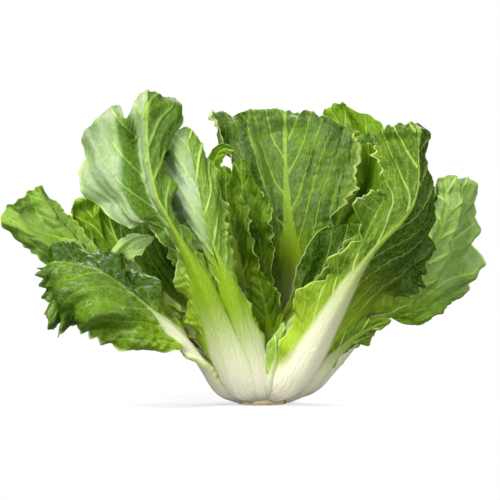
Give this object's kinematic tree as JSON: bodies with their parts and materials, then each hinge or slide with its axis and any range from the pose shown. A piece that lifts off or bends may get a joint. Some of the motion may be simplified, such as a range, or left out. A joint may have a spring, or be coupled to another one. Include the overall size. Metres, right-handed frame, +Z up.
{
  "type": "escarole",
  "caption": "Loose head of broad-leaved escarole, standing on its flat cut stem base, with pale stalks fanning out into wavy green leaves.",
  "frame": {"origin": "centre of the flat cut face under the stem, where the head stands", "axes": "+Z up along the stem, +X along the head's widest spread, -Y towards the side with the tall leaves' undersides (the front)"},
  "size_m": [0.3615, 0.2086, 0.2359],
  "materials": {
    "stem": "moist cream cut stem, matte",
    "leaf": "satin green leaf with pale ribs, white at the foot",
    "heart_leaf": "satin yellow-green young leaf"
  },
  "bodies": {
    "root": {"stem_core": "stem", "leaf_front_left_tall": "leaf", "leaf_front_right_folded": "leaf", "leaf_front_bud": "heart_leaf", "leaf_left_low": "leaf", "leaf_right_outer": "leaf", "leaf_right_low": "leaf", "leaf_left_far": "leaf", "leaf_front_left_inner": "leaf", "leaf_back_tall": "leaf", "leaf_back_right_tall": "leaf", "leaf_left_back": "leaf", "leaf_left_mid": "leaf", "leaf_left_frill": "leaf", "leaf_inner_right": "leaf", "leaf_inner_front": "leaf", "leaf_inner_curl": "leaf", "leaf_inner_small": "heart_leaf", "leaf_heart_left": "heart_leaf", "leaf_inner_left_front": "leaf", "leaf_inner_right_front": "leaf", "leaf_back_1": "leaf", "leaf_back_2": "leaf", "leaf_back_3": "leaf", "leaf_back_4": "leaf", "leaf_back_5": "leaf", "leaf_back_6": "leaf", "leaf_back_7": "leaf", "leaf_back_8": "leaf", "leaf_back_9": "leaf", "leaf_back_10": "leaf"}
  },
  "joints": []
}
